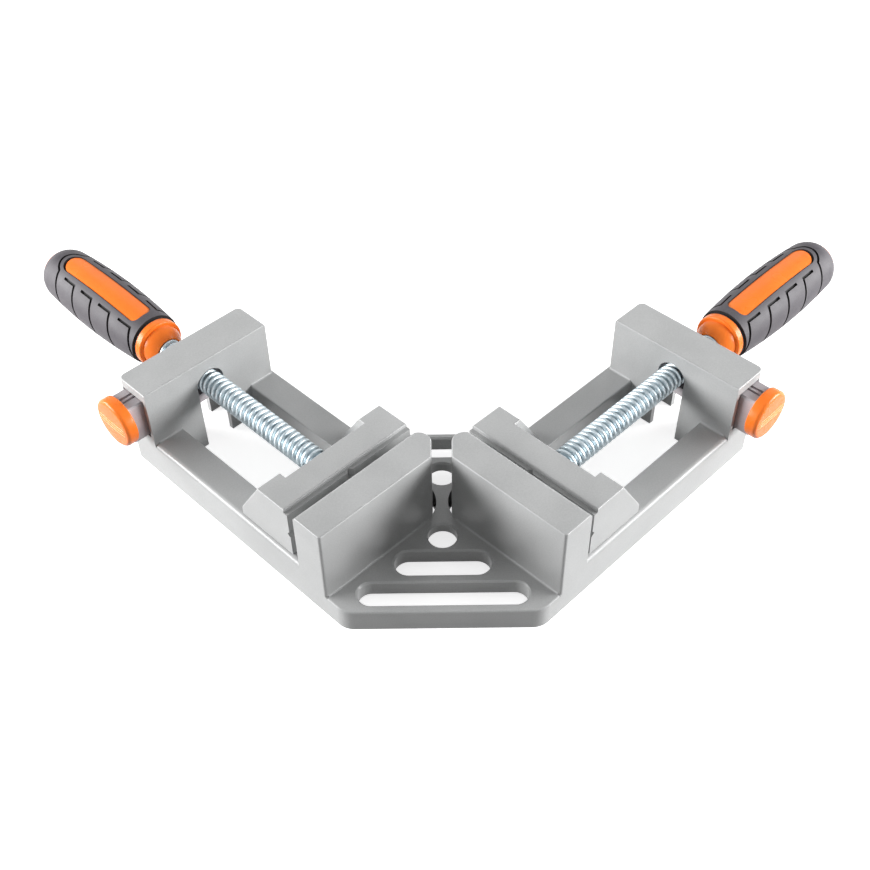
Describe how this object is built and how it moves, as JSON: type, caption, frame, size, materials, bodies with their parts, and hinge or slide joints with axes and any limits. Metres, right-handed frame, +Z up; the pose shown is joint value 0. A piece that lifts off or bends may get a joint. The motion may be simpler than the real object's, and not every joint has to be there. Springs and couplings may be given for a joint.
{
  "type": "corner clamp",
  "caption": "Right-angle corner clamp with fixed jaws on a cored plate, sliding jaws on rails, threaded spindles with soft-grip handles, and quick-release half nuts behind oval buttons.",
  "frame": {"origin": "the point on the bench plane where the clamping planes of both fixed jaws meet", "axes": "+Z up from the bench; +Y backwards along the clamp's middle plane, away from the plate's slots; +X to the right, across both arms"},
  "size_m": [0.4028, 0.2105, 0.0503],
  "materials": {
    "casting": "silver-grey paint, fine grain, satin",
    "zinc_steel": "zinc plated thread, bright",
    "plain_steel": "plain steel",
    "orange_plastic": "orange moulded plastic, satin gloss",
    "grip_rubber": "dark grey soft grip, matt",
    "slider_grey": "grey moulded, matt"
  },
  "bodies": {
    "frame": {"frame": "casting"},
    "left_jaw_group": {"left_moving_jaw": "casting", "left_jaw_keeper": "plain_steel", "left_keeper_screws": "plain_steel", "left_thrust_washer": "plain_steel"},
    "left_spindle_group": {"left_spindle": "zinc_steel", "left_spindle_clip": "plain_steel", "left_handle_core": "orange_plastic", "left_handle_grip": "grip_rubber"},
    "left_release_group": {"left_release_slider": "slider_grey", "left_release_cap": "orange_plastic", "left_release_spring": "plain_steel"},
    "right_jaw_group": {"right_moving_jaw": "casting", "right_jaw_keeper": "plain_steel", "right_keeper_screws": "plain_steel", "right_thrust_washer": "plain_steel"},
    "right_spindle_group": {"right_spindle": "zinc_steel", "right_spindle_clip": "plain_steel", "right_handle_core": "orange_plastic", "right_handle_grip": "grip_rubber"},
    "right_release_group": {"right_release_slider": "slider_grey", "right_release_cap": "orange_plastic", "right_release_spring": "plain_steel"}
  },
  "joints": [
    {"name": "left_jaw_slide", "type": "slide", "parent": "frame", "child": "left_jaw_group", "axis": [-0.7071, 0.7071, 0], "range_m": [-0.0055, 0.0616]},
    {"name": "left_spindle_spin", "type": "hinge", "parent": "left_jaw_group", "child": "left_spindle_group", "pos_m": [-0.07789, 0.00696, 0.0356], "axis": [-0.7071, 0.7071, 0], "range_deg": [-666, 7398]},
    {"name": "left_release_press", "type": "slide", "parent": "frame", "child": "left_release_group", "axis": [0.7071, 0.7071, 0], "range_m": [0, 0.005], "stiffness_N_per_m": 1500, "springref_m": -0.004, "deforming": ["left_release_spring"]},
    {"name": "right_jaw_slide", "type": "slide", "parent": "frame", "child": "right_jaw_group", "axis": [0.7071, 0.7071, 0], "range_m": [-0.0033, 0.0638]},
    {"name": "right_spindle_spin", "type": "hinge", "parent": "right_jaw_group", "child": "right_spindle_group", "pos_m": [0.07789, 0.00696, 0.0356], "axis": [0.7071, 0.7071, 0], "range_deg": [-402, 7662]},
    {"name": "right_release_press", "type": "slide", "parent": "frame", "child": "right_release_group", "axis": [-0.7071, 0.7071, 0], "range_m": [0, 0.005], "stiffness_N_per_m": 1500, "springref_m": -0.004, "deforming": ["right_release_spring"]}
  ],
  "couplings": [
    {"joint": "left_spindle_spin", "follows": "left_jaw_slide", "rad_per_m": 2094.4},
    {"joint": "right_spindle_spin", "follows": "right_jaw_slide", "rad_per_m": 2094.4}
  ]
}
